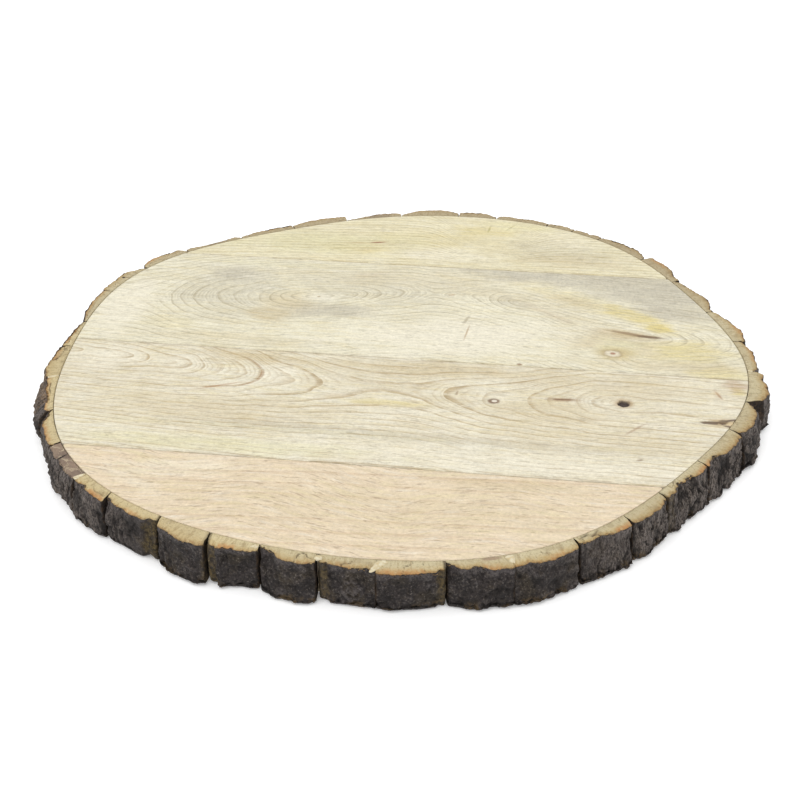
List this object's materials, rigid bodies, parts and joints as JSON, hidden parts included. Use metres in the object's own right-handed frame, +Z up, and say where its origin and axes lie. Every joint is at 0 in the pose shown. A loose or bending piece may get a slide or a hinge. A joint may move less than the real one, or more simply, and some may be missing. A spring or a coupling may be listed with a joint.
{
  "type": "bark-edge serving board",
  "caption": "Round serving board made of planks glued edge to edge, with a rim of rough bark blocks glued round it so that it looks like a slice of a tree trunk.",
  "frame": {"origin": "middle of the board's underside, on the surface it stands on", "axes": "+Z up through the serving face, +X along the planks, +Y from the tan front plank to the back plank"},
  "size_m": [0.4028, 0.4032, 0.022],
  "materials": {
    "pale_plank_wood": "pale cream wood, sanded and left with a thin matt oil, with brown and grey figure",
    "tan_plank_wood": "pinkish tan wood, sanded, with short dark pores",
    "bark": "rough dark brown-black outer bark, sawn tan inner bark on top"
  },
  "bodies": {
    "root": {"plank_front": "tan_plank_wood", "plank_mid_front": "pale_plank_wood", "plank_mid_back": "pale_plank_wood", "plank_back": "pale_plank_wood", "bark_01": "bark", "bark_02": "bark", "bark_03": "bark", "bark_04": "bark", "bark_05": "bark", "bark_06": "bark", "bark_07": "bark", "bark_08": "bark", "bark_09": "bark", "bark_10": "bark", "bark_11": "bark", "bark_12": "bark", "bark_13": "bark", "bark_14": "bark", "bark_15": "bark", "bark_16": "bark", "bark_17": "bark", "bark_18": "bark", "bark_19": "bark", "bark_20": "bark", "bark_21": "bark", "bark_22": "bark", "bark_23": "bark", "bark_24": "bark", "bark_25": "bark", "bark_26": "bark", "bark_27": "bark", "bark_28": "bark", "bark_29": "bark", "bark_30": "bark", "bark_31": "bark", "bark_32": "bark", "bark_33": "bark", "bark_34": "bark", "bark_35": "bark", "bark_36": "bark", "bark_37": "bark"}
  },
  "joints": []
}
